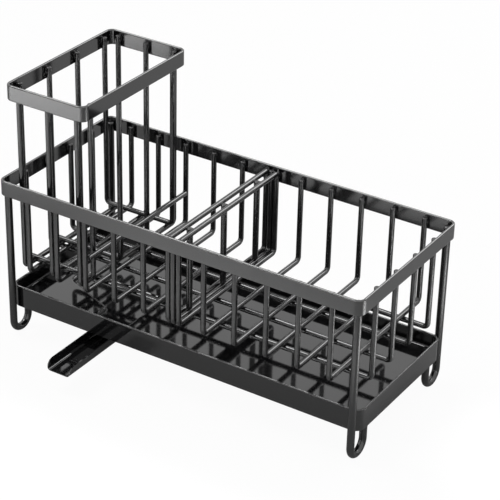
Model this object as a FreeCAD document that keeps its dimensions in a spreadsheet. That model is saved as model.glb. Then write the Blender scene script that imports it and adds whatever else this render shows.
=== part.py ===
import FreeCAD, Part
import math
import os
import re

import Sketcher

# Kitchen sink caddy of black painted steel wire and sheet, in millimetres.
# X runs along the basket, Y to the back and Z up. The origin lies on the worktop,
# under the middle of the basket's rim.

# Driving dimensions: each one is a cell of the sheet.
SIZES = {
    # Clearances: wires that are welded together touch, pieces that lift or slide have play.
    "weld_gap": 0.02,
    "seat_gap": 0.3,
    "side_gap": 0.4,
    "overrun": 2,
    # Flat strip of the basket's and the tower's rims
    "strip_height": 12,
    "strip_thick": 2,
    "strip_edge": 0.9,
    # Basket rim
    "rim_length": 300,
    "rim_depth": 134,
    "rim_top": 130,
    "rim_corner": 6,
    # Basket wires
    "wire_dia": 4,
    "wire_bend": 3.5,
    "wire_end_drop": 2.5,
    "wire_end_round": 0.8,
    "basket_depth": 69.8,
    "cross_count": 11,
    "cross_end_inset": 23.75,
    "long_count": 4,
    "long_side_inset": 27.1,
    # Leg frames
    "leg_dia": 5.5,
    "leg_end_drop": 3,
    "leg_end_round": 1.2,
    "leg_bend": 5,
    "foot_bend": 8.5,
    # Stop rail beside the tower
    "stop_drop": 43,
    "stop_offset": 1.2,
    "stop_wire_number": 3,
    # Utensil tower
    "tower_rise": 74.6,
    "tower_corner": 6,
    "tower_end_play": 3.8,
    "tower_stop_play": 0.3,
    "tower_cross_count": 3,
    "tower_wire_offset": 8,
    "tower_long_count": 4,
    "tower_long_inset": 12.95,
    # Divider
    "rail_drop": 4,
    "rail_end_inset": 2.6,
    "bar_end_drop": 1.2,
    "bar_count": 3,
    "bar_inset": 19,
    # Drip tray
    "tray_end_inset": 1,
    "tray_side_play": 1.12,
    "tray_height": 17.4,
    "tray_bottom": 22.9,
    "tray_corner": 7,
    "tray_sheet": 1,
    "tray_edge": 0.4,
    "floor_drop": 12,
    "floor_round": 1.5,
    "skirt_play": 1,
    # Drain well pressed into the tray's floor, with an arm that leads the water to it
    "well_width": 27,
    "well_inset": 6,
    "well_margin": 3,
    "well_corner": 5,
    "well_round": 2.5,
    "well_foot_round": 0.9,
    "arm_reach": 45,
    "arm_width_share": 0.57,
    "arm_end_share": 0.26,
    "drain_dia": 9,
    "drain_from_front": 10,
    # Spout and the guides that carry it
    "spout_inset": 79.65,
    "spout_width": 20.4,
    "spout_flare": 0.4,
    "spout_height": 7.4,
    "spout_sheet": 0.8,
    "spout_corner": 3,
    "spout_reach": 47.5,
    "spout_length": 106,
    "spout_tip_round": 6,
    "tip_curve_share": 0.134,
    "guide_sheet": 0.8,
    "guide_length": 12,
    "guide_lip": 3.5,
    "guide_from_front": 24,
    "guide_tail_inset": 3,
}

# Places worked out from the driving dimensions.
PLACES = {
    "wire_radius": "wire_dia / 2",
    "leg_radius": "leg_dia / 2",
    "rim_inner_x": "rim_length / 2 - strip_thick",
    "rim_inner_y": "rim_depth / 2 - strip_thick",
    "wire_top": "rim_top - wire_end_drop",
    "cross_pitch": "(rim_length - 2 * cross_end_inset) / (cross_count - 1)",
    "cross_plane": "rim_inner_y - wire_radius - weld_gap",
    "cross_level": "rim_top - basket_depth",
    "long_pitch": "(rim_depth - 2 * long_side_inset) / (long_count - 1)",
    "long_plane": "rim_inner_x - wire_radius - weld_gap",
    "long_level": "cross_level - wire_dia - weld_gap",
    # A leg's post nests in the round inside corner of the rim, on its diagonal.
    "corner_inside": "rim_corner - strip_thick",
    "corner_reach": "(corner_inside - leg_radius - weld_gap) * sqrt(2) / 2",
    "post_x": "rim_inner_x - corner_inside + corner_reach",
    "post_y": "rim_inner_y - corner_inside + corner_reach",
    "post_top": "rim_top - leg_end_drop",
    "foot_level": "leg_radius + foot_bend",
    "leg_run_level": "tray_bottom + floor_underside - seat_gap - leg_radius",
    "stop_wire_x": "cross_pitch * (stop_wire_number - (cross_count + 1) / 2)",
    "stop_x": "stop_wire_x + stop_offset",
    "stop_level": "rim_top - stop_drop",
    "stop_length": "2 * (cross_plane - wire_radius - weld_gap)",
    # The tower fills the basket's left end up to the stop rail. It stands on the basket's long wires,
    # with a cross wire of its own beside each of the basket's.
    "tower_top": "rim_top + tower_rise",
    "tower_wire_top": "tower_top - wire_end_drop",
    "tower_left": "tower_end_play - rim_inner_x",
    "tower_right": "stop_x - wire_radius - tower_stop_play + strip_thick",
    "tower_width": "tower_right - tower_left",
    "tower_centre": "(tower_left + tower_right) / 2",
    "tower_cross_plane": "cross_plane - wire_dia - side_gap",
    "tower_depth": "2 * (tower_cross_plane + wire_radius + weld_gap + strip_thick)",
    "tower_long_pitch": "(tower_depth - 2 * tower_long_inset) / (tower_long_count - 1)",
    "tower_cross_level": "cross_level + seat_gap",
    "tower_long_plane": "tower_width / 2 - strip_thick - wire_radius - weld_gap",
    "tower_long_level": "tower_cross_level + wire_dia + weld_gap",
    # The divider straddles the middle cross wire.
    "loop_x": "wire_dia + seat_gap",
    "loop_plane": "rim_inner_y - side_gap - wire_radius",
    "loop_level": "cross_level + seat_gap",
    "rail_level": "rim_top - rail_drop",
    "rail_length": "2 * (rim_inner_y - side_gap - rail_end_inset)",
    "loop_top": "rail_level - wire_radius - weld_gap",
    "bar_pitch": "(rail_length - 2 * bar_inset) / (bar_count - 1)",
    "bar_dia": "2 * (loop_x - wire_radius - weld_gap)",
    "bar_top": "rail_level + wire_radius - bar_end_drop",
    "bar_bottom": "cross_level + wire_radius + seat_gap",
    # The tray slides between the posts. Its floor lies inside its wall and runs on the leg frames, and the
    # well reaches down to the guides' lips. Its left end is open under the floor, to pass the leg frames.
    "tray_length": "rim_length - 2 * tray_end_inset",
    "tray_depth": "2 * (post_y - leg_radius - tray_side_play)",
    "tray_inside_length": "tray_length - 2 * tray_sheet",
    "tray_inside_depth": "tray_depth - 2 * tray_sheet",
    "tray_inside_corner": "tray_corner - tray_sheet",
    "floor_height": "tray_height - floor_drop",
    "floor_underside": "floor_height - tray_sheet",
    "well_underside": "guide_sheet",
    "well_depth": "floor_underside - well_underside",
    "well_front": "tray_depth / 2 - well_inset",
    "well_back": "spout_tail + well_margin",
    "well_left": "-spout_centre - well_width / 2",
    "well_right": "well_width / 2 - spout_centre",
    "well_length": "well_front + well_back",
    "arm_left": "well_left - arm_reach",
    "arm_front": "well_back - arm_width_share * well_length",
    "arm_end": "well_back - arm_end_share * well_length",
    "well_floor": "well_underside + tray_sheet",
    "skirt_gap": "post_y - 2 * foot_bend + leg_radius + skirt_play",
    "drain_y": "drain_from_front - well_front",
    # The spout hangs just under the tray's wall. Its walls lean out a little.
    "spout_centre": "tray_length / 2 - spout_inset",
    "spout_tip": "tray_depth / 2 + spout_reach",
    "spout_tail": "spout_length - spout_tip",
    "spout_top": "tray_bottom - seat_gap",
    "spout_bottom": "spout_top - spout_height",
    "spout_lean": "spout_flare / spout_height",
    "spout_foot": "spout_width / 2 - spout_flare",
    "trough_foot": "spout_foot + spout_sheet * spout_lean - spout_sheet",
    "trough_head": "spout_width / 2 + overrun * spout_lean - spout_sheet",
    "guide_inside": "spout_width / 2 + seat_gap",
    "guide_outside": "guide_inside + guide_sheet",
    "guide_mouth": "guide_inside - guide_lip",
    "guide_floor": "-seat_gap",
    "guide_underside": "guide_floor - guide_sheet",
    "guide_lip_level": "spout_height + seat_gap",
    "guide_head": "guide_lip_level + guide_sheet",
    "guide_front_start": "guide_from_front - well_front - guide_length / 2",
    "guide_back_start": "spout_tail - guide_tail_inset - guide_length",
}

SHEET_NAME = "sizes"
UPRIGHT = FreeCAD.Vector(0, 0, 1)
SAME_PLACE = 1e-4

doc = FreeCAD.newDocument("sink_caddy")
pieces = []


def make_sheet():
    """Write the driving dimensions as plain numbers with aliases."""
    sheet = doc.addObject("Spreadsheet::Sheet", SHEET_NAME)
    for row, (alias, size) in enumerate(SIZES.items(), start=1):
        sheet.set(f"A{row}", alias)
        sheet.set(f"B{row}", str(size))
        sheet.setAlias(f"B{row}", alias)
    doc.recompute()
    return sheet


def expand(formula):
    """Turn a formula in plain names into one that reads the sheet's cells."""

    def cell_or_place(match):
        word = match.group(0)
        if word in PLACES:
            return f"({expand(PLACES[word])})"
        if word in SIZES:
            return f"{SHEET_NAME}.{word}"
        return word

    return re.sub(r"[a-z_]+", cell_or_place, formula)


def value(formula):
    """The number that a formula gives now, for a sketch's first draft."""
    return float(sizes.evalExpression(expand(formula)))


def bind(thing, prop, formula):
    """Tie a property to the sheet."""
    thing.setExpression(prop, expand(formula))


def new_body(label, x="0", y="0", z="0"):
    """A piece's own body, placed by formulas."""
    body = doc.addObject("PartDesign::Body", label)
    body.Label = label
    bind(body, "Placement.Base.x", x)
    bind(body, "Placement.Base.y", y)
    bind(body, "Placement.Base.z", z)
    pieces.append(body)
    return body


def new_sketch(body, name, role, lift="0"):
    """A sketch on one of the body's origin planes, lifted along its normal."""
    sketch = body.newObject("Sketcher::SketchObject", name)
    plane = next(item for item in body.Origin.OriginFeatures if item.Role == role)
    sketch.AttachmentSupport = (plane, [""])
    sketch.MapMode = "FlatFace"
    bind(sketch, "AttachmentOffset.Base.z", lift)
    return sketch


def shift(sketch, x, y):
    """Move a sketch within its plane."""
    bind(sketch, "AttachmentOffset.Base.x", x)
    bind(sketch, "AttachmentOffset.Base.y", y)


def dimension(sketch, name, formula, kind, *points):
    """A named dimension of a sketch, tied to the sheet."""
    index = sketch.addConstraint(Sketcher.Constraint(kind, *points, value(formula)))
    sketch.renameConstraint(index, name)
    bind(sketch, f"Constraints.{name}", formula)


def line(start, end):
    """A straight run of a path."""
    return Part.LineSegment(FreeCAD.Vector(*start), FreeCAD.Vector(*end))


def arc(centre, radius, quarter, quarters=1):
    """A bend of whole quarter turns, counter-clockwise from a given quarter."""
    circle = Part.Circle(FreeCAD.Vector(*centre), UPRIGHT, radius)
    start = quarter * math.pi / 2
    return Part.ArcOfCircle(circle, start, start + quarters * math.pi / 2)


def draw_chain(sketch, runs, clockwise=(), closed=False):
    """Draw runs and bends one after another, each tangent to the next, and return their numbers."""
    first = sketch.GeometryCount
    numbers = [sketch.addGeometry(run, False) for run in runs]
    last = len(numbers) - 1
    for place, number in enumerate(numbers):
        if place == last and not closed:
            break
        following = numbers[(place + 1) % len(numbers)]
        leaves = 1 if place in clockwise else 2
        enters = 2 if following - first in clockwise else 1
        sketch.addConstraint(Sketcher.Constraint("Tangent", number, leaves, following, enters))
    for number, run in zip(numbers, runs):
        if isinstance(run, Part.LineSegment):
            level = abs(run.EndPoint.y - run.StartPoint.y) < abs(run.EndPoint.x - run.StartPoint.x)
            sketch.addConstraint(Sketcher.Constraint("Horizontal" if level else "Vertical", number))
    return numbers


def draw_rounded_rectangle(sketch, length, depth, corner):
    """A rectangle with round corners about the sketch's origin."""
    half_x = value(f"({length}) / 2")
    half_y = value(f"({depth}) / 2")
    radius = value(corner)
    x = half_x - radius
    y = half_y - radius
    runs = [
        line((-x, -half_y), (x, -half_y)),
        arc((x, -y), radius, 3),
        line((half_x, -y), (half_x, y)),
        arc((x, y), radius, 0),
        line((x, half_y), (-x, half_y)),
        arc((-x, y), radius, 1),
        line((-half_x, y), (-half_x, -y)),
        arc((-x, -y), radius, 2),
    ]
    front, bend, right, bend_2, back, bend_3, left, bend_4 = draw_chain(sketch, runs, closed=True)
    for other in (bend_2, bend_3, bend_4):
        sketch.addConstraint(Sketcher.Constraint("Equal", bend, other))
    tag = f"_{front}"
    dimension(sketch, "corner" + tag, corner, "Radius", bend)
    dimension(sketch, "to_right" + tag, f"({length}) / 2", "DistanceX", -1, 1, right, 1)
    dimension(sketch, "to_left" + tag, f"({length}) / 2", "DistanceX", left, 1, -1, 1)
    dimension(sketch, "to_back" + tag, f"({depth}) / 2", "DistanceY", -1, 1, back, 1)
    dimension(sketch, "to_front" + tag, f"({depth}) / 2", "DistanceY", front, 1, -1, 1)


def draw_circle(sketch, dia):
    """A circle about the sketch's origin."""
    sketch.addGeometry(Part.Circle(FreeCAD.Vector(), UPRIGHT, value(dia) / 2), False)
    sketch.addConstraint(Sketcher.Constraint("Coincident", 0, 3, -1, 1))
    dimension(sketch, "dia", dia, "Diameter", 0)


def draw_u(sketch, span, top, level, bend):
    """Down one side, along the bottom and up the other side."""
    half = value(span)
    high = value(top)
    low = value(level)
    radius = value(bend)
    runs = [
        line((-half, high), (-half, low + radius)),
        arc((radius - half, low + radius), radius, 2),
        line((radius - half, low), (half - radius, low)),
        arc((half - radius, low + radius), radius, 3),
        line((half, low + radius), (half, high)),
    ]
    down, bend_in, run, bend_out, rise = draw_chain(sketch, runs)
    sketch.addConstraint(Sketcher.Constraint("Equal", bend_in, bend_out))
    sketch.addConstraint(Sketcher.Constraint("Symmetric", down, 1, rise, 2, -2))
    dimension(sketch, "bend", bend, "Radius", bend_in)
    dimension(sketch, "span", f"2 * ({span})", "DistanceX", down, 1, rise, 2)
    dimension(sketch, "high", top, "DistanceY", -1, 1, down, 1)
    dimension(sketch, "low", level, "DistanceY", -1, 1, run, 1)


def draw_outline(sketch, corners):
    """A closed outline of straight edges through corners given as formulas."""
    points = [(value(x), value(y)) for x, y in corners]
    count = len(points)
    numbers = [
        sketch.addGeometry(line(points[place], points[(place + 1) % count]), False)
        for place in range(count)
    ]
    for place, number in enumerate(numbers):
        following = numbers[(place + 1) % count]
        sketch.addConstraint(Sketcher.Constraint("Coincident", number, 2, following, 1))
        x, y = corners[place]
        dimension(sketch, f"x_{place}", x, "DistanceX", -1, 1, number, 1)
        dimension(sketch, f"y_{place}", y, "DistanceY", -1, 1, number, 1)


def pad(body, sketch, length, reverse=False, midplane=False):
    """Thicken a sketch into a solid."""
    feature = body.newObject("PartDesign::Pad", "pad")
    feature.Profile = sketch
    bind(feature, "Length", length)
    feature.Reversed = reverse
    if midplane:
        feature.SideType = "Symmetric"
    doc.recompute()
    return feature


def pocket(body, sketch, depth, reverse=False):
    """Cut a sketch out of the solid, and make sure that it took something away."""
    before = body.Shape.Volume
    feature = body.newObject("PartDesign::Pocket", "pocket")
    feature.Profile = sketch
    bind(feature, "Length", depth)
    feature.Reversed = reverse
    doc.recompute()
    if not body.Shape.Volume < before:
        raise RuntimeError(f"a pocket of {body.Label} cuts nothing")
    return feature


def fillet(body, base, radius, chosen):
    """Round the edges of a feature that a test picks out."""
    names = [f"Edge{place}" for place, edge in enumerate(base.Shape.Edges, start=1) if chosen(edge)]
    feature = body.newObject("PartDesign::Fillet", "fillet")
    feature.Base = (base, names)
    bind(feature, "Radius", radius)
    doc.recompute()
    return feature


def at_level(*levels):
    """A test for edges that lie flat at one of some heights."""
    heights = [value(level) for level in levels]

    def chosen(edge):
        box = edge.BoundBox
        off = min(max(abs(box.ZMin - height), abs(box.ZMax - height)) for height in heights)
        return off < SAME_PLACE

    return chosen


def sweep_wire(body, path, start_role, start, dia, top):
    """Run a round section along a path that begins at its top end."""
    profile = new_sketch(body, "section", "XY_Plane", top)
    centre = (-value(start), 0) if start_role == "XZ_Plane" else (0, -value(start))
    profile.addGeometry(Part.Circle(FreeCAD.Vector(*centre), UPRIGHT, value(dia) / 2), False)
    dimension(profile, "dia", dia, "Diameter", 0)
    along, on_axis = ("DistanceX", -1) if start_role == "XZ_Plane" else ("DistanceY", -2)
    dimension(profile, "reach", start, along, 0, 3, -1, 1)
    profile.addConstraint(Sketcher.Constraint("PointOnObject", 0, 3, on_axis))
    doc.recompute()
    pipe = body.newObject("PartDesign::AdditivePipe", "pipe")
    pipe.Profile = profile
    pipe.Spine = path
    doc.recompute()
    return pipe


def u_wire(label, role, span, top, level, x="0", y="0"):
    """A wire bent to a U."""
    body = new_body(label, x, y)
    path = new_sketch(body, "path", role)
    draw_u(path, span, top, level, "wire_bend")
    pipe = sweep_wire(body, path, role, span, "wire_dia", top)
    fillet(body, pipe, "wire_end_round", at_level(top))


def rod(label, role, dia, length, x="0", y="0", z="0"):
    """A straight wire with rounded ends, centred on its place."""
    body = new_body(label, x, y, z)
    section = new_sketch(body, "section", role)
    draw_circle(section, dia)
    shaft = pad(body, section, length, midplane=True)
    fillet(body, shaft, "wire_end_round", lambda edge: isinstance(edge.Curve, Part.Circle))


def strip_rim(label, length, depth, corner, top, x="0"):
    """A flat strip bent to a rounded rectangle, with softened edges."""
    body = new_body(label, x, "0", f"{top} - strip_height")
    outline = new_sketch(body, "outline", "XY_Plane")
    draw_rounded_rectangle(outline, length, depth, corner)
    draw_rounded_rectangle(
        outline, f"{length} - 2 * strip_thick", f"{depth} - 2 * strip_thick", f"{corner} - strip_thick"
    )
    strip = pad(body, outline, "strip_height")
    fillet(body, strip, "strip_edge", at_level("0", "strip_height"))


def spread(count, pitch, place):
    """Where one of a row of evenly spaced pieces stands, counted from one."""
    return f"{pitch} * ({place} - ({count} + 1) / 2)"


def make_basket():
    """The basket: a strip rim with cross wires over long wires, welded inside it."""
    strip_rim("main_rim", "rim_length", "rim_depth", "rim_corner", "rim_top")
    for place in range(1, SIZES["cross_count"] + 1):
        x = spread("cross_count", "cross_pitch", place)
        u_wire(f"cross_wire_{place:02d}", "YZ_Plane", "cross_plane", "wire_top", "cross_level", x=x)
    for place in range(1, SIZES["long_count"] + 1):
        y = spread("long_count", "long_pitch", place)
        u_wire(f"long_wire_{place}", "XZ_Plane", "long_plane", "wire_top", "long_level", y=y)
    rod("stop_rail", "XZ_Plane", "wire_dia", "stop_length", x="stop_x", z="stop_level")


def leg_frame(label, x):
    """One bent wire per end: post, foot loop, run under the tray, foot loop, post."""
    body = new_body(label, x)
    path = new_sketch(body, "path", "YZ_Plane")
    half = value("post_y")
    high = value("post_top")
    foot = value("foot_bend")
    foot_level = value("foot_level")
    bend = value("leg_bend")
    level = value("leg_run_level")
    inner = half - 2 * foot
    runs = [
        line((-half, high), (-half, foot_level)),
        arc((foot - half, foot_level), foot, 2, quarters=2),
        line((-inner, foot_level), (-inner, level - bend)),
        arc((bend - inner, level - bend), bend, 1),
        line((bend - inner, level), (inner - bend, level)),
        arc((inner - bend, level - bend), bend, 0),
        line((inner, level - bend), (inner, foot_level)),
        arc((half - foot, foot_level), foot, 2, quarters=2),
        line((half, foot_level), (half, high)),
    ]
    numbers = draw_chain(path, runs, clockwise=(3, 5))
    down, loop, _, turn, run, turn_2, _, loop_2, rise = numbers
    path.addConstraint(Sketcher.Constraint("Equal", loop, loop_2))
    path.addConstraint(Sketcher.Constraint("Equal", turn, turn_2))
    path.addConstraint(Sketcher.Constraint("Symmetric", down, 1, rise, 2, -2))
    dimension(path, "foot", "foot_bend", "Radius", loop)
    dimension(path, "turn", "leg_bend", "Radius", turn)
    dimension(path, "span", "2 * post_y", "DistanceX", down, 1, rise, 2)
    dimension(path, "high", "post_top", "DistanceY", -1, 1, down, 1)
    dimension(path, "low", "foot_level", "DistanceY", -1, 1, loop, 3)
    dimension(path, "low_2", "foot_level", "DistanceY", -1, 1, loop_2, 3)
    dimension(path, "run", "leg_run_level", "DistanceY", -1, 1, run, 1)
    pipe = sweep_wire(body, path, "YZ_Plane", "post_y", "leg_dia", "post_top")
    fillet(body, pipe, "leg_end_round", at_level("post_top"))


def make_tower():
    """The utensil tower, which lifts out of the basket's left end."""
    strip_rim("tower_rim", "tower_width", "tower_depth", "tower_corner", "tower_top", x="tower_centre")
    top = "tower_wire_top"
    for place in range(1, SIZES["tower_cross_count"] + 1):
        label = f"tower_cross_wire_{place}"
        x = f"{spread('cross_count', 'cross_pitch', place)} - tower_wire_offset"
        u_wire(label, "YZ_Plane", "tower_cross_plane", top, "tower_cross_level", x=x)
    for place in range(1, SIZES["tower_long_count"] + 1):
        label = f"tower_long_wire_{place}"
        y = spread("tower_long_count", "tower_long_pitch", place)
        u_wire(label, "XZ_Plane", "tower_long_plane", top, "tower_long_level", x="tower_centre", y=y)


def make_divider():
    """The divider: two loops straddle the middle cross wire and carry two rails with bars between them."""
    for side, sign in (("left", "-"), ("right", "")):
        x = f"{sign}loop_x"
        u_wire(f"divider_loop_{side}", "YZ_Plane", "loop_plane", "loop_top", "loop_level", x=x)
        rod(f"divider_rail_{side}", "XZ_Plane", "wire_dia", "rail_length", x=x, z="rail_level")
    for place in range(1, SIZES["bar_count"] + 1):
        y = spread("bar_count", "bar_pitch", place)
        middle = "(bar_top + bar_bottom) / 2"
        rod(f"divider_bar_{place}", "XY_Plane", "bar_dia", "bar_top - bar_bottom", y=y, z=middle)


def make_tray():
    """The drip tray: a wall round a raised floor, with a well that drains into the spout."""
    body = new_body("drip_tray", z="tray_bottom")
    outline = new_sketch(body, "outline", "XY_Plane")
    draw_rounded_rectangle(outline, "tray_length", "tray_depth", "tray_corner")
    pad(body, outline, "tray_height")
    pan = new_sketch(body, "pan", "XY_Plane", "tray_height")
    draw_rounded_rectangle(pan, "tray_inside_length", "tray_inside_depth", "tray_inside_corner")
    pocket(body, pan, "floor_drop")
    hollow = new_sketch(body, "hollow", "XY_Plane")
    draw_rounded_rectangle(hollow, "tray_inside_length", "tray_inside_depth", "tray_inside_corner")
    pocket(body, hollow, "floor_underside", reverse=True)
    skirt = new_sketch(body, "skirt", "XY_Plane")
    outer = "-tray_length / 2 - overrun"
    inner = "overrun - tray_inside_length / 2"
    gap = "skirt_gap"
    draw_outline(skirt, [(outer, f"-{gap}"), (inner, f"-{gap}"), (inner, gap), (outer, gap)])
    pocket(body, skirt, "floor_underside", reverse=True)
    shell = new_sketch(body, "well_shell", "XY_Plane", "well_underside")
    draw_outline(shell, well_outline("tray_sheet"))
    pad(body, shell, "well_depth")
    well = new_sketch(body, "well", "XY_Plane", "floor_height")
    draw_outline(well, well_outline("0"))
    pressed = pocket(body, well, "well_depth")
    rounded = fillet(body, pressed, "well_corner", on_well_corner)
    rounded = fillet(body, rounded, "tray_edge", at_level("tray_height"))
    rounded = fillet(body, rounded, "floor_round", lambda edge: on_floor(edge) and on_tray_wall(edge))
    rounded = fillet(body, rounded, "well_round", lambda edge: on_floor(edge) and not on_tray_wall(edge))
    rounded = fillet(body, rounded, "well_round - tray_sheet", on_shell)
    fillet(body, rounded, "well_foot_round", at_level("well_floor"))
    drain = new_sketch(body, "drain", "XY_Plane", "floor_height")
    shift(drain, "-spout_centre", "drain_y")
    draw_circle(drain, "drain_dia")
    pocket(body, drain, "floor_height")


def well_outline(grow):
    """Corners of the well and its tapering arm, moved out by a sheet's thickness or nothing."""
    right = f"well_right + {grow}"
    back = f"well_back + {grow}"
    left = f"well_left - {grow}"
    front = f"-well_front - {grow}"
    arm = f"arm_left - {grow}"
    tapered = [(arm, back), (arm, f"arm_end - {grow}"), (left, f"arm_front - {grow}")]
    return [(right, front), (right, back), *tapered, (left, front)]


def on_well_corner(edge):
    """A test for the upright edges of the well and its shell."""
    box = edge.BoundBox
    upright = box.XLength < SAME_PLACE and box.YLength < SAME_PLACE
    along = value("arm_left - overrun") < box.XMin < value("well_right + overrun")
    across = value("-well_front - overrun") < box.YMin < value("well_back + overrun")
    return upright and along and across


def on_shell(edge):
    """A test for edges where the well's shell meets the underside of the tray's floor."""
    return at_level("floor_underside")(edge) and not on_tray_wall(edge)


def on_floor(edge):
    """A test for edges in the top face of the tray's floor."""
    return at_level("floor_height")(edge)


def on_tray_wall(edge):
    """A test for edges that run along the inside of the tray's wall or round its corners."""
    box = edge.BoundBox
    reach_x = max(abs(box.XMin), abs(box.XMax))
    reach_y = max(abs(box.YMin), abs(box.YMax))
    near_end = value("tray_inside_length / 2 - tray_inside_corner")
    near_side = value("tray_inside_depth / 2 - floor_round")
    return reach_x > near_end or reach_y > near_side


def make_spout():
    """The spout: a pressed channel, open on top and at its tip, that slides in under the tray."""
    body = new_body("spout", "-spout_centre", "-spout_tip", "spout_bottom")
    outside = new_sketch(body, "outside", "XZ_Plane")
    draw_trough(outside, ("spout_width / 2", "spout_height"), ("spout_foot", "0"))
    pad(body, outside, "spout_length", reverse=True)
    inside = new_sketch(body, "inside", "XZ_Plane")
    draw_trough(inside, ("trough_head", "spout_height + overrun"), ("trough_foot", "spout_sheet"))
    channel = pocket(body, inside, "spout_length - spout_sheet")
    rounded = fillet(body, channel, "spout_corner", lambda edge: along_spout(edge, "0"))
    inside_corner = "spout_corner - spout_sheet"
    fillet(body, rounded, inside_corner, lambda edge: along_spout(edge, "spout_sheet"))
    tip = new_sketch(body, "tip", "YZ_Plane", "spout_width")
    foot = "spout_height - spout_tip_round"
    head = "spout_height + overrun"
    curve = [
        ("0", foot),
        ("spout_tip_round * tip_curve_share", "spout_height - spout_tip_round / 2"),
        ("spout_tip_round / 2", "spout_height - spout_tip_round * tip_curve_share"),
        ("spout_tip_round", "spout_height"),
    ]
    draw_outline(tip, [("-overrun", foot), *curve, ("spout_tip_round", head), ("-overrun", head)])
    pocket(body, tip, "2 * spout_width")


def draw_trough(sketch, head, foot):
    """A channel's section: wide at its head and narrower at its foot."""
    left = [(f"-({foot[0]})", foot[1]), (f"-({head[0]})", head[1])]
    draw_outline(sketch, [head, foot, *left])


def along_spout(edge, level):
    """A test for the long edges at the foot of the spout's walls."""
    return at_level(level)(edge) and edge.BoundBox.YLength > value("spout_length / 2")


def spout_guide(label, start):
    """A guide folded from sheet: it wraps the spout, and its lips are welded under the tray's well."""
    body = new_body(label, "-spout_centre", start, "spout_bottom")
    section = new_sketch(body, "section", "XZ_Plane")
    right_half = [
        ("guide_outside", "guide_underside"),
        ("guide_outside", "guide_head"),
        ("guide_mouth", "guide_head"),
        ("guide_mouth", "guide_lip_level"),
        ("guide_inside", "guide_lip_level"),
        ("guide_inside", "guide_floor"),
    ]
    left_half = [(f"-{x}", y) for x, y in reversed(right_half)]
    draw_outline(section, right_half + left_half)
    pad(body, section, "guide_length", reverse=True)


def check_pieces():
    """Stop if an object failed or a piece has no sound solid."""
    doc.recompute()
    for thing in doc.Objects:
        if "Invalid" in thing.State or "Error" in thing.State:
            raise RuntimeError(f"{thing.Name} failed: {thing.State}")
    for piece in pieces:
        if piece.Shape.isNull() or not piece.Shape.isValid():
            raise RuntimeError(f"{piece.Label} has no valid shape")


def write_pieces():
    """Write each piece to a file of its own name."""
    os.makedirs("parts", exist_ok=True)
    for piece in pieces:
        piece.Shape.exportStep(os.path.join("parts", f"{piece.Label}.step"))


sizes = make_sheet()
make_basket()
leg_frame("leg_frame_left", "-post_x")
leg_frame("leg_frame_right", "post_x")
make_tower()
make_divider()
make_tray()
make_spout()
spout_guide("spout_guide_front", "guide_front_start")
spout_guide("spout_guide_back", "guide_back_start")
check_pieces()
write_pieces()
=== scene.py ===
import math

import bpy
from bpy.props import FloatProperty, FloatVectorProperty, PointerProperty
from mathutils import Matrix, Vector, noise


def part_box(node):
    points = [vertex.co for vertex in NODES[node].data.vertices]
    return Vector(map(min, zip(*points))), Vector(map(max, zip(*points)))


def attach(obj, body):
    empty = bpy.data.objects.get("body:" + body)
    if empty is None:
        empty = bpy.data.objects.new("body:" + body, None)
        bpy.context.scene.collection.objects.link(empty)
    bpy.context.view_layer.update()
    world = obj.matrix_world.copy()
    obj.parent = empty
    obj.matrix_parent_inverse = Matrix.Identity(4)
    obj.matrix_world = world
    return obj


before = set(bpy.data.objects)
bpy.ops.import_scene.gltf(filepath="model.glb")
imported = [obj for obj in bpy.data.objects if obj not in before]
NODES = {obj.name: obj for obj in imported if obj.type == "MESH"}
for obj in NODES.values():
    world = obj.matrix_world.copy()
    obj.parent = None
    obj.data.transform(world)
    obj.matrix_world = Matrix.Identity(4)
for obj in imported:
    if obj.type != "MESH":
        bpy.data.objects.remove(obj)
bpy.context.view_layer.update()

bl_info = {
    "name": "Kitchen sink caddy",
    "version": (1, 0, 0),
    "blender": (4, 5, 0),
    "location": "View3D > Sidebar > Caddy",
    "description": "Paints the packed sink caddy, adds its tray hem and weld beads and sets up the studio",
    "category": "Object",
}

MM = 0.001
WIRE_COAT = "powder_coat_on_wire"
STRIP_COAT = "powder_coat_on_strip"
TRAY_ENAMEL = "baked_enamel_on_sheet"

# The pieces by what they are made of.
RIMS = ["main_rim", "tower_rim"]
SHEET_PIECES = ["drip_tray", "spout", "spout_guide_front", "spout_guide_back"]
WIRES = sorted(name for name in NODES if name not in RIMS + SHEET_PIECES)
CROSS_WIRES = sorted(name for name in NODES if name.startswith("cross_wire"))
LONG_WIRES = sorted(name for name in NODES if name.startswith("long_wire"))
LEG_FRAMES = ["leg_frame_left", "leg_frame_right"]
TOWER_CROSS_WIRES = sorted(name for name in NODES if name.startswith("tower_cross"))
TOWER_LONG_WIRES = sorted(name for name in NODES if name.startswith("tower_long"))
LOOPS = ["divider_loop_left", "divider_loop_right"]
RAILS = ["divider_rail_left", "divider_rail_right"]
BARS = sorted(name for name in NODES if name.startswith("divider_bar"))

# Each coat's index of refraction, the width and depth of its ripples and the width of its cloudy patches.
# Widths and depths are in mm.
WIRE_FINISH = {"ior": 1.8, "peel": 5, "peel_depth": 0.003, "mottle": 14}
STRIP_FINISH = {"ior": 2.1, "peel": 6, "peel_depth": 0.003, "mottle": 30}
SHEET_FINISH = {"ior": 1.8, "peel": 14, "peel_depth": 0.008, "mottle": 40}

# How the cloudy patches look, and the shares by which they change the paint's gloss and colour.
CLOUD_DETAIL = 3.0
CLOUD_ROUGHNESS = 0.55
CLOUD_LOW, CLOUD_HIGH = 0.3, 0.7
GLOSS_LOW_SHARE, GLOSS_HIGH_SHARE = 0.85, 1.15
TINT_LOW_SHARE, TINT_HIGH_SHARE = 0.8, 1.25
RIPPLE_DETAIL = 1.0


def linear(code):
    """Turn an sRGB hex value into linear light."""
    steps = [int(code[place : place + 2], 16) / 255 for place in (1, 3, 5)]
    return tuple(s / 12.92 if s <= 0.04045 else ((s + 0.055) / 1.055) ** 2.4 for s in steps)


def solid(colour):
    """A colour with full opacity, for a node's socket."""
    return (*colour, 1.0)


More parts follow.
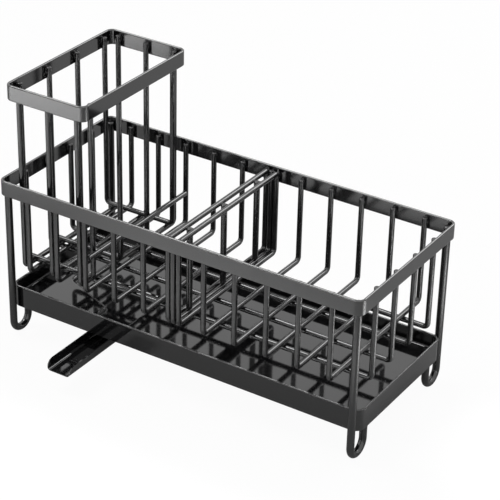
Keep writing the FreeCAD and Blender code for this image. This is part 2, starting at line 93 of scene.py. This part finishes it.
def per_mm(size):
    """The scale of a pattern whose features are this many millimetres apart."""
    return 1 / (size * MM)


def add_node(tree, kind, settings=None, inputs=None):
    """Add a node with its settings. An input is a plain value or the socket that feeds it."""
    node = tree.nodes.new(kind)
    for name, setting in (settings or {}).items():
        setattr(node, name, setting)
    for name, source in (inputs or {}).items():
        if isinstance(source, bpy.types.NodeSocket):
            tree.links.new(source, node.inputs[name])
        else:
            node.inputs[name].default_value = source
    return node


class CaddyPaint(bpy.types.PropertyGroup):
    """Colours and gloss of the paint."""

    wire_colour: FloatVectorProperty(
        name="Wire paint",
        description="Colour of the powder coat on the wires",
        subtype="COLOR",
        min=0,
        max=1,
        default=linear("#141415"),
    )
    strip_colour: FloatVectorProperty(
        name="Rim paint",
        description="Colour of the powder coat on the flat rims",
        subtype="COLOR",
        min=0,
        max=1,
        default=linear("#161617"),
    )
    sheet_colour: FloatVectorProperty(
        name="Tray enamel",
        description="Colour of the baked enamel on the tray and the spout",
        subtype="COLOR",
        min=0,
        max=1,
        default=linear("#121213"),
    )
    wire_roughness: FloatProperty(
        name="Wire roughness",
        description="How dull the wires' paint is",
        subtype="FACTOR",
        min=0,
        max=1,
        default=0.16,
    )
    strip_roughness: FloatProperty(
        name="Rim roughness",
        description="How dull the rims' paint is",
        subtype="FACTOR",
        min=0,
        max=1,
        default=0.09,
    )
    sheet_roughness: FloatProperty(
        name="Tray roughness",
        description="How dull the tray's enamel is",
        subtype="FACTOR",
        min=0,
        max=1,
        default=0.06,
    )


class CaddyTray(bpy.types.PropertyGroup):
    """Sizes of the drip tray's rolled edge."""

    hem_width: FloatProperty(
        name="Hem width",
        description="Width of the edge that is rolled along the top of the tray's wall",
        subtype="DISTANCE",
        unit="LENGTH",
        default=1.8 * MM,
    )
    wall_thickness: FloatProperty(
        name="Wall thickness",
        description="Thickness of the tray's sheet",
        subtype="DISTANCE",
        unit="LENGTH",
        default=1 * MM,
    )
    corner_radius: FloatProperty(
        name="Corner radius",
        description="Outside radius of the tray's upright corners",
        subtype="DISTANCE",
        unit="LENGTH",
        default=7 * MM,
    )


class CaddyWelds(bpy.types.PropertyGroup):
    """Sizes of the weld beads."""

    lap_length: FloatProperty(
        name="Lap bead length",
        description="Length of the bead where a wire's end is welded to a rim",
        subtype="DISTANCE",
        unit="LENGTH",
        default=7 * MM,
    )
    lap_width: FloatProperty(
        name="Lap bead width",
        description="Width of the bead where a wire's end is welded to a rim",
        subtype="DISTANCE",
        unit="LENGTH",
        default=3.4 * MM,
    )
    spot_width: FloatProperty(
        name="Spot bead width",
        description="Width of the bead where two wires cross",
        subtype="DISTANCE",
        unit="LENGTH",
        default=3.2 * MM,
    )
    bead_thickness: FloatProperty(
        name="Bead thickness",
        description="Thickness of the beads",
        subtype="DISTANCE",
        unit="LENGTH",
        default=1.6 * MM,
    )
    ripple_pitch: FloatProperty(
        name="Ripple pitch",
        description="Distance between the ripples of a bead",
        subtype="DISTANCE",
        unit="LENGTH",
        default=1.1 * MM,
    )


class CaddyStage(bpy.types.PropertyGroup):
    """The studio: camera, floor and light."""

    camera_place: FloatVectorProperty(
        name="Camera place",
        description="Where the camera stands",
        subtype="TRANSLATION",
        unit="LENGTH",
        default=(0.644, -0.994, 0.7553),
    )
    camera_yaw: FloatProperty(
        name="Camera yaw",
        description="How far the camera stands round to the right",
        subtype="ANGLE",
        default=math.radians(32.022),
    )
    camera_pitch: FloatProperty(
        name="Camera pitch",
        description="How far the camera looks down",
        subtype="ANGLE",
        default=math.radians(29.317),
    )
    camera_roll: FloatProperty(
        name="Camera roll",
        description="How far the camera leans",
        subtype="ANGLE",
        default=math.radians(1.45),
    )
    lens: FloatProperty(
        name="Lens",
        description="Focal length on a 36 mm frame",
        unit="CAMERA",
        default=136.96,
    )
    floor_colour: FloatVectorProperty(
        name="Floor colour",
        description="Colour of the studio floor as it lights the object",
        subtype="COLOR",
        min=0,
        max=1,
        default=linear("#b8b8b8"),
    )
    floor_white: FloatVectorProperty(
        name="Floor white",
        description="Colour of the studio floor as the eye meets it",
        subtype="COLOR",
        min=0,
        max=1,
        default=linear("#f8f8f8"),
    )
    floor_size: FloatProperty(
        name="Floor size",
        description="Width of the studio floor",
        subtype="DISTANCE",
        unit="LENGTH",
        default=12.0,
    )
    key_light: FloatProperty(
        name="Key light",
        description="Strength of the distant key light",
        default=1.0,
    )
    key_angle: FloatProperty(
        name="Key angle",
        description="How wide the key light looks from the object",
        subtype="ANGLE",
        default=math.radians(22),
    )
    back_light: FloatProperty(
        name="Back light",
        description="Power of the softbox behind the object",
        unit="POWER",
        default=3.5,
    )
    front_floor_light: FloatProperty(
        name="Front floor light",
        description="Power of the lamp that washes the floor in front of the object",
        unit="POWER",
        default=3.75,
    )
    left_floor_light: FloatProperty(
        name="Left floor light",
        description="Power of the lamp that washes the floor at the front left",
        unit="POWER",
        default=1.25,
    )
    right_floor_light: FloatProperty(
        name="Right floor light",
        description="Power of the lamp that washes the floor on the right",
        unit="POWER",
        default=0.3,
    )
    near_floor_light: FloatProperty(
        name="Near floor light",
        description="Power of the long lamp that washes the floor close to the object's front",
        unit="POWER",
        default=0.17,
    )
    fill_light: FloatProperty(
        name="Fill light",
        description="Strength of the light from the white surroundings",
        default=0.4,
    )


def painted_steel(name, colour, roughness, ior, peel, peel_depth, mottle):
    """Black paint on steel, with soft ripples (peel) and cloudy patches (mottle)."""
    material = bpy.data.materials.new(name)
    material.use_nodes = True
    tree = material.node_tree
    tree.nodes.clear()
    place = add_node(tree, "ShaderNodeTexCoord").outputs["Object"]
    cloud = add_node(
        tree,
        "ShaderNodeTexNoise",
        inputs={
            "Vector": place,
            "Scale": per_mm(mottle),
            "Detail": CLOUD_DETAIL,
            "Roughness": CLOUD_ROUGHNESS,
        },
    )
    gloss = add_node(
        tree,
        "ShaderNodeMapRange",
        inputs={
            "Value": cloud.outputs["Fac"],
            "From Min": CLOUD_LOW,
            "From Max": CLOUD_HIGH,
            "To Min": roughness * GLOSS_LOW_SHARE,
            "To Max": roughness * GLOSS_HIGH_SHARE,
        },
    )
    tint = add_node(
        tree,
        "ShaderNodeMix",
        {"data_type": "RGBA"},
        {
            "Factor": cloud.outputs["Fac"],
            "A": solid([channel * TINT_LOW_SHARE for channel in colour]),
            "B": solid([channel * TINT_HIGH_SHARE for channel in colour]),
        },
    )
    ripple = add_node(
        tree,
        "ShaderNodeTexNoise",
        inputs={"Vector": place, "Scale": per_mm(peel), "Detail": RIPPLE_DETAIL},
    )
    surface = add_node(
        tree,
        "ShaderNodeBump",
        inputs={"Height": ripple.outputs["Fac"], "Strength": 1.0, "Distance": peel_depth * MM},
    )
    paint = add_node(
        tree,
        "ShaderNodeBsdfPrincipled",
        inputs={
            "Base Color": tint.outputs["Result"],
            "Roughness": gloss.outputs["Result"],
            "IOR": ior,
            "Normal": surface.outputs["Normal"],
        },
    )
    add_node(tree, "ShaderNodeOutputMaterial", inputs={"Surface": paint.outputs["BSDF"]})
    return material


def dress(names, material):
    """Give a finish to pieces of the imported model."""
    for name in names:
        slots = NODES[name].data.materials
        slots.clear()
        slots.append(material)


class CADDY_OT_paint_wires(bpy.types.Operator):
    """Paint the wires of the basket, the tower and the divider"""

    bl_idname = "caddy.paint_wires"
    bl_label = "Paint the wires"

    def execute(self, context):
        paint = context.scene.caddy_paint
        # Powder coat melts over the drawn wire and levels out, so it shines with soft ripples.
        coat = painted_steel(WIRE_COAT, paint.wire_colour, paint.wire_roughness, **WIRE_FINISH)
        dress(WIRES, coat)
        return {"FINISHED"}


class CADDY_OT_paint_rims(bpy.types.Operator):
    """Paint the flat rims of the basket and the tower"""

    bl_idname = "caddy.paint_rims"
    bl_label = "Paint the rims"

    def execute(self, context):
        paint = context.scene.caddy_paint
        # The same powder coat lies thicker and flatter on the strip, so it mirrors the floor evenly.
        colour, roughness = paint.strip_colour, paint.strip_roughness
        coat = painted_steel(STRIP_COAT, colour, roughness, **STRIP_FINISH)
        dress(RIMS, coat)
        return {"FINISHED"}


class CADDY_OT_paint_tray(bpy.types.Operator):
    """Paint the drip tray, its spout and the spout's guides"""

    bl_idname = "caddy.paint_tray"
    bl_label = "Paint the tray"

    def execute(self, context):
        paint = context.scene.caddy_paint
        # Baked enamel on pressed sheet is nearly a mirror, with a slow waviness from the press.
        colour, roughness = paint.sheet_colour, paint.sheet_roughness
        coat = painted_steel(TRAY_ENAMEL, colour, roughness, **SHEET_FINISH)
        dress(SHEET_PIECES, coat)
        return {"FINISHED"}


class CADDY_OT_roll_hem(bpy.types.Operator):
    """Roll the top edge of the drip tray's wall"""

    bl_idname = "caddy.roll_hem"
    bl_label = "Roll the tray's edge"

    CORNER_STEPS = 8
    ROUND_STEPS = 14

    def execute(self, context):
        scene = context.scene
        sizes = scene.caddy_tray
        rings = [self.ring(place, out, sizes.hem_width / 2) for place, out in self.line(sizes)]
        points = [point for ring in rings for point in ring]
        mesh = bpy.data.meshes.new("tray_hem")
        mesh.from_pydata(points, [], self.skin(len(rings)))
        mesh.shade_smooth()
        mesh.materials.append(bpy.data.materials[TRAY_ENAMEL])
        hem = bpy.data.objects.new("tray_hem", mesh)
        scene.collection.objects.link(hem)
        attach(hem, "tray")
        return {"FINISHED"}

    def line(self, sizes):
        """Points along the middle of the wall, just under its top, each with its outward direction."""
        low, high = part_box("drip_tray")
        level = high.z - sizes.hem_width / 2
        bend = sizes.corner_radius - sizes.wall_thickness / 2
        centres = [
            (high.x - sizes.corner_radius, high.y - sizes.corner_radius),
            (low.x + sizes.corner_radius, high.y - sizes.corner_radius),
            (low.x + sizes.corner_radius, low.y + sizes.corner_radius),
            (high.x - sizes.corner_radius, low.y + sizes.corner_radius),
        ]
        for quarter, (x, y) in enumerate(centres):
            for step in range(self.CORNER_STEPS + 1):
                turn = (quarter + step / self.CORNER_STEPS) * math.pi / 2
                out = Vector((math.cos(turn), math.sin(turn), 0))
                yield Vector((x, y, level)) + out * bend, out

    def ring(self, place, out, radius):
        """A round section across the edge."""
        turns = [2 * math.pi * step / self.ROUND_STEPS for step in range(self.ROUND_STEPS)]
        return [place + (out * math.cos(turn) + Vector((0, 0, math.sin(turn)))) * radius for turn in turns]

    def skin(self, count):
        """Faces that join each ring to the next, and the last one to the first."""
        faces = []
        for ring in range(count):
            following = (ring + 1) % count
            for step in range(self.ROUND_STEPS):
                beside = (step + 1) % self.ROUND_STEPS
                here, there = ring * self.ROUND_STEPS, following * self.ROUND_STEPS
                faces.append((here + step, there + step, there + beside, here + beside))
        return faces


class WeldBeads:
    """The beads of one body, gathered into one mesh."""

    RINGS = 10
    STEPS = 12
    RIPPLE_SHARE = 0.05
    UNEVEN_SHARE = 0.16

    def __init__(self, sizes):
        self.sizes = sizes
        self.points = []
        self.faces = []

    def lap(self, place, out):
        """A long bead down the line where an upright wire touches a rim."""
        size = (self.sizes.lap_length, self.sizes.lap_width, self.sizes.bead_thickness)
        self.bead(Vector(place), Vector((0, 0, 1)), Vector(out), size)

    def spot(self, place, along, out):
        """A short bead where two wires cross."""
        size = (self.sizes.spot_width, self.sizes.spot_width, self.sizes.bead_thickness)
        self.bead(Vector(place), Vector(along), Vector(out), size)

    def bead(self, place, along, out, size):
        """A rippled, uneven lozenge between the two pieces it joins."""
        length, width, thickness = size
        side = along.cross(out)
        first = len(self.points)
        for ring in range(1, self.RINGS):
            turn = math.pi * ring / self.RINGS
            reach = -math.cos(turn) * length / 2
            ripple = 1 + self.RIPPLE_SHARE * math.cos(2 * math.pi * reach / self.sizes.ripple_pitch)
            for step in range(self.STEPS):
                round_turn = 2 * math.pi * step / self.STEPS
                across = math.cos(round_turn) * math.sin(turn) * width / 2
                rise = math.sin(round_turn) * math.sin(turn) * thickness / 2
                offset = along * reach + (side * across + out * rise) * ripple
                uneven = 1 + self.UNEVEN_SHARE * noise.noise((place + offset) / self.sizes.ripple_pitch)
                self.points.append(place + offset * uneven)
        for ring in range(self.RINGS - 2):
            for step in range(self.STEPS):
                here = first + ring * self.STEPS + step
                beside = first + ring * self.STEPS + (step + 1) % self.STEPS
                self.faces.append((here, beside, beside + self.STEPS, here + self.STEPS))
        last = len(self.points)
        self.points += [place - along * length / 2, place + along * length / 2]
        end = last - self.STEPS
        for step in range(self.STEPS):
            following = (step + 1) % self.STEPS
            self.faces.append((last, first + following, first + step))
            self.faces.append((last + 1, end + step, end + following))

    def join(self, scene, name, body, coat):
        """Make the beads one object that moves with its body."""
        mesh = bpy.data.meshes.new(name)
        mesh.from_pydata(self.points, [], self.faces)
        mesh.shade_smooth()
        mesh.materials.append(coat)
        welds = bpy.data.objects.new(name, mesh)
        scene.collection.objects.link(welds)
        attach(welds, body)


def middle(name):
    """The middle of a piece's box."""
    low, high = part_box(name)
    return (low + high) / 2


def weld_ends(beads, rim, cross_wires, long_wires):
    """Lap beads where the ends of a basket's wires meet its rim."""
    level = middle(rim).z
    for name in cross_wires:
        low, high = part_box(name)
        x = middle(name).x
        beads.lap((x, low.y, level), (0, -1, 0))
        beads.lap((x, high.y, level), (0, 1, 0))
    for name in long_wires:
        low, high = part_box(name)
        y = middle(name).y
        beads.lap((low.x, y, level), (-1, 0, 0))
        beads.lap((high.x, y, level), (1, 0, 0))


def weld_crossings(beads, cross_wires, long_wires, seat):
    """Spot beads where a basket's cross wires lie on or under its long wires."""
    for cross in cross_wires:
        for long in long_wires:
            beads.spot((middle(cross).x, middle(long).y, seat), (1, 0, 0), (0, 0, 1))


class CADDY_OT_weld_basket(bpy.types.Operator):
    """Add the weld beads of the basket"""

    bl_idname = "caddy.weld_basket"
    bl_label = "Weld the basket"

    def execute(self, context):
        scene = context.scene
        beads = WeldBeads(scene.caddy_welds)
        weld_ends(beads, "main_rim", CROSS_WIRES, LONG_WIRES)
        weld_crossings(beads, CROSS_WIRES, LONG_WIRES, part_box(CROSS_WIRES[0])[0].z)
        self.weld_posts(beads)
        self.weld_stop_rail(beads)
        beads.join(scene, "basket_welds", "frame", bpy.data.materials[WIRE_COAT])
        return {"FINISHED"}

    def weld_posts(self, beads):
        """The posts nest in the rim's corners and touch it on the diagonal."""
        level = middle("main_rim").z
        for name in LEG_FRAMES:
            low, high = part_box(name)
            radius = (high.x - low.x) / 2
            for side, y in ((-1, low.y + radius), (1, high.y - radius)):
                out = Vector((math.copysign(1, low.x), side, 0)).normalized()
                beads.lap(Vector((middle(name).x, y, level)) + out * radius, out)

    def weld_stop_rail(self, beads):
        """The stop rail's ends stand against the legs of the nearest cross wire."""
        rail = middle("stop_rail")
        carrier = min(CROSS_WIRES, key=lambda name: abs(middle(name).x - rail.x))
        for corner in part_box("stop_rail"):
            beads.spot((middle(carrier).x, corner.y, rail.z), (0, 0, 1), (0, 1, 0))


class CADDY_OT_weld_tower(bpy.types.Operator):
    """Add the weld beads of the utensil tower"""

    bl_idname = "caddy.weld_tower"
    bl_label = "Weld the tower"

    def execute(self, context):
        scene = context.scene
        beads = WeldBeads(scene.caddy_welds)
        weld_ends(beads, "tower_rim", TOWER_CROSS_WIRES, TOWER_LONG_WIRES)
        weld_crossings(beads, TOWER_CROSS_WIRES, TOWER_LONG_WIRES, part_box(TOWER_LONG_WIRES[0])[0].z)
        beads.join(scene, "tower_welds", "tower", bpy.data.materials[WIRE_COAT])
        return {"FINISHED"}


class CADDY_OT_weld_divider(bpy.types.Operator):
    """Add the weld beads of the divider"""

    bl_idname = "caddy.weld_divider"
    bl_label = "Weld the divider"

    def execute(self, context):
        scene = context.scene
        beads = WeldBeads(scene.caddy_welds)
        for loop, rail in zip(LOOPS, RAILS):
            low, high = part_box(loop)
            radius = (high.x - low.x) / 2
            for y in (low.y + radius, high.y - radius):
                beads.spot((middle(loop).x, y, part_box(rail)[0].z), (0, 1, 0), (0, 0, 1))
        for bar in BARS:
            low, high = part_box(bar)
            level = middle(RAILS[0]).z
            for x in (low.x, high.x):
                beads.spot((x, middle(bar).y, level), (0, 1, 0), (1, 0, 0))
        beads.join(scene, "divider_welds", "divider", bpy.data.materials[WIRE_COAT])
        return {"FINISHED"}


class CADDY_OT_set_stage(bpy.types.Operator):
    """Set up the floor, the light and the camera"""

    bl_idname = "caddy.set_stage"
    bl_label = "Set the stage"

    # How much of what a ray meets on the floor is the floor's own white.
    WHITE_TO_EYE = 0.955
    WHITE_IN_MIRROR = 0.1

    # Where the lamps hang and their sizes, in metres, and how far the floor lamps spread, in degrees.
    KEY_PLACE = (-0.497, -0.05, 0.866)
    KEY_TARGET = (0, 0, 0)
    BACK_PLACE = (0.27, 1.04, 0.9)
    BACK_TARGET = (0, 0, 0.1)
    BACK_SIZE = 0.5
    FRONT_WASH = {"place": (-0.14, -0.62, 1), "size": (0.2, 0.2), "spread": 46}
    NEAR_WASH = {"place": (0.03, -0.19, 0.6), "size": (0.45, 0.03), "spread": 13}
    LEFT_WASH = {"place": (-0.5, -0.42, 0.8), "size": (0.15, 0.15), "spread": 36}
    RIGHT_WASH = {"place": (0.29, 0.02, 0.8), "size": (0.08, 0.08), "spread": 12}

    def execute(self, context):
        scene = context.scene
        stage = scene.caddy_stage
        scene.view_settings.view_transform = "Standard"
        self.lay_floor(scene, stage)
        self.hang_lights(scene, stage)
        self.place_camera(scene, stage)
        return {"FINISHED"}

    def lay_floor(self, scene, stage):
        """A pale floor that shows white and keeps the object's shadow."""
        half = stage.floor_size / 2
        mesh = bpy.data.meshes.new("studio_floor")
        corners = [(-half, -half, 0), (half, -half, 0), (half, half, 0), (-half, half, 0)]
        mesh.from_pydata(corners, [], [(0, 1, 2, 3)])
        floor = bpy.data.objects.new("studio_floor", mesh)
        scene.collection.objects.link(floor)
        material = bpy.data.materials.new("matt_white_floor")
        material.use_nodes = True
        tree = material.node_tree
        tree.nodes.clear()
        rays = add_node(tree, "ShaderNodeLightPath")
        paper = add_node(
            tree,
            "ShaderNodeMix",
            {"data_type": "RGBA"},
            {
                "Factor": rays.outputs["Is Camera Ray"],
                "A": solid(stage.floor_colour),
                "B": solid(stage.floor_white),
            },
        )
        matt = add_node(tree, "ShaderNodeBsdfDiffuse", inputs={"Color": paper.outputs["Result"]})
        seen = self.seen_directly(tree, rays)
        # The eye meets a floor that is nearly white by itself. A reflection meets more of the lit floor.
        own_light = add_node(
            tree,
            "ShaderNodeMapRange",
            inputs={
                "Value": rays.outputs["Is Camera Ray"],
                "To Min": self.WHITE_IN_MIRROR,
                "To Max": self.WHITE_TO_EYE,
            },
        )
        glow = add_node(tree, "ShaderNodeEmission", inputs={"Strength": seen})
        lifted = add_node(tree, "ShaderNodeMixShader", inputs={"Fac": own_light.outputs["Result"]})
        tree.links.new(matt.outputs["BSDF"], lifted.inputs[1])
        tree.links.new(glow.outputs["Emission"], lifted.inputs[2])
        plain = add_node(tree, "ShaderNodeMixShader", inputs={"Fac": seen})
        tree.links.new(matt.outputs["BSDF"], plain.inputs[1])
        tree.links.new(lifted.outputs["Shader"], plain.inputs[2])
        add_node(tree, "ShaderNodeOutputMaterial", inputs={"Surface": plain.outputs["Shader"]})
        mesh.materials.append(material)

    def seen_directly(self, tree, rays):
        """One where the eye, a reflection or a view through glass meets the surroundings."""
        mirror = add_node(
            tree,
            "ShaderNodeMath",
            {"operation": "MAXIMUM"},
            {0: rays.outputs["Is Camera Ray"], 1: rays.outputs["Is Glossy Ray"]},
        )
        either = add_node(
            tree,
            "ShaderNodeMath",
            {"operation": "MAXIMUM"},
            {0: mirror.outputs["Value"], 1: rays.outputs["Is Transmission Ray"]},
        )
        return either.outputs["Value"]

    def hang_lights(self, scene, stage):
        """A distant key, a softbox behind, lamps that light the floor and white surroundings."""
        # The key is far off, so it draws an even bright line along each wire and edge.
        key = self.lamp(scene, "distant_key", "SUN", self.KEY_PLACE, self.KEY_TARGET, stage.key_light)
        key.angle = stage.key_angle
        # The softbox draws the lines on the cross wires and the right-hand edges.
        back = self.lamp(scene, "back_softbox", "AREA", self.BACK_PLACE, self.BACK_TARGET, stage.back_light)
        back.size = self.BACK_SIZE
        # Lamps that point at the floor, clear of the object, light what its upright faces mirror.
        self.wash(scene, "front_floor_lamp", self.FRONT_WASH, stage.front_floor_light)
        self.wash(scene, "near_floor_lamp", self.NEAR_WASH, stage.near_floor_light)
        self.wash(scene, "left_floor_lamp", self.LEFT_WASH, stage.left_floor_light)
        self.wash(scene, "right_floor_lamp", self.RIGHT_WASH, stage.right_floor_light)
        world = bpy.data.worlds.new("white_surroundings")
        world.use_nodes = True
        scene.world = world
        tree = world.node_tree
        tree.nodes.clear()
        rays = add_node(tree, "ShaderNodeLightPath")
        seen = self.seen_directly(tree, rays)
        strength = add_node(
            tree,
            "ShaderNodeMapRange",
            inputs={"Value": seen, "To Min": stage.fill_light, "To Max": 1.0},
        )
        sky = add_node(
            tree,
            "ShaderNodeBackground",
            inputs={"Color": (1, 1, 1, 1), "Strength": strength.outputs["Result"]},
        )
        add_node(tree, "ShaderNodeOutputWorld", inputs={"Surface": sky.outputs["Background"]})

    def lamp(self, scene, name, kind, place, target, power):
        """A lamp that faces a point."""
        lamp = bpy.data.lights.new(name, kind)
        lamp.energy = power
        light = bpy.data.objects.new(name, lamp)
        light.location = place
        light.rotation_euler = (Vector(target) - Vector(place)).to_track_quat("-Z", "Y").to_euler()
        light.visible_camera = False
        scene.collection.objects.link(light)
        return lamp

    def wash(self, scene, name, hung, power):
        """A lamp that points straight down and lights a patch of the floor."""
        x, y, height = hung["place"]
        lamp = self.lamp(scene, name, "AREA", (x, y, height), (x, y, 0), power)
        lamp.shape = "RECTANGLE"
        lamp.size, lamp.size_y = hung["size"]
        lamp.spread = math.radians(hung["spread"])

    def place_camera(self, scene, stage):
        """The camera at the photograph's viewing angle."""
        camera = bpy.data.objects.new("camera", bpy.data.cameras.new("camera"))
        camera.data.lens = stage.lens
        turn = Matrix.Rotation(stage.camera_yaw, 4, "Z")
        tilt = Matrix.Rotation(math.pi / 2 - stage.camera_pitch, 4, "X")
        lean = Matrix.Rotation(stage.camera_roll, 4, "Z")
        camera.matrix_world = Matrix.Translation(stage.camera_place) @ turn @ tilt @ lean
        scene.collection.objects.link(camera)
        scene.camera = camera


class CADDY_PT_panel(bpy.types.Panel):
    """The caddy's sizes, colours and building steps"""

    bl_idname = "CADDY_PT_panel"
    bl_label = "Sink caddy"
    bl_space_type = "VIEW_3D"
    bl_region_type = "UI"
    bl_category = "Caddy"

    def draw(self, context):
        scene = context.scene
        for group in (getattr(scene, name) for name in GROUPS):
            box = self.layout.box()
            for name in group.__annotations__:
                box.prop(group, name)
        for operator in OPERATORS:
            self.layout.operator(operator.bl_idname)


GROUPS = {
    "caddy_paint": CaddyPaint,
    "caddy_tray": CaddyTray,
    "caddy_welds": CaddyWelds,
    "caddy_stage": CaddyStage,
}
OPERATORS = (
    CADDY_OT_paint_wires,
    CADDY_OT_paint_rims,
    CADDY_OT_paint_tray,
    CADDY_OT_roll_hem,
    CADDY_OT_weld_basket,
    CADDY_OT_weld_tower,
    CADDY_OT_weld_divider,
    CADDY_OT_set_stage,
)


def register():
    for name, group in GROUPS.items():
        bpy.utils.register_class(group)
        setattr(bpy.types.Scene, name, PointerProperty(type=group))
    for operator in OPERATORS:
        bpy.utils.register_class(operator)
    bpy.utils.register_class(CADDY_PT_panel)


def unregister():
    bpy.utils.unregister_class(CADDY_PT_panel)
    for operator in reversed(OPERATORS):
        bpy.utils.unregister_class(operator)
    for name, group in GROUPS.items():
        delattr(bpy.types.Scene, name)
        bpy.utils.unregister_class(group)


def main():
    register()
    bpy.ops.caddy.paint_wires()
    bpy.ops.caddy.paint_rims()
    bpy.ops.caddy.paint_tray()
    bpy.ops.caddy.roll_hem()
    bpy.ops.caddy.weld_basket()
    bpy.ops.caddy.weld_tower()
    bpy.ops.caddy.weld_divider()
    bpy.ops.caddy.set_stage()


if __name__ == "__main__":
    main()
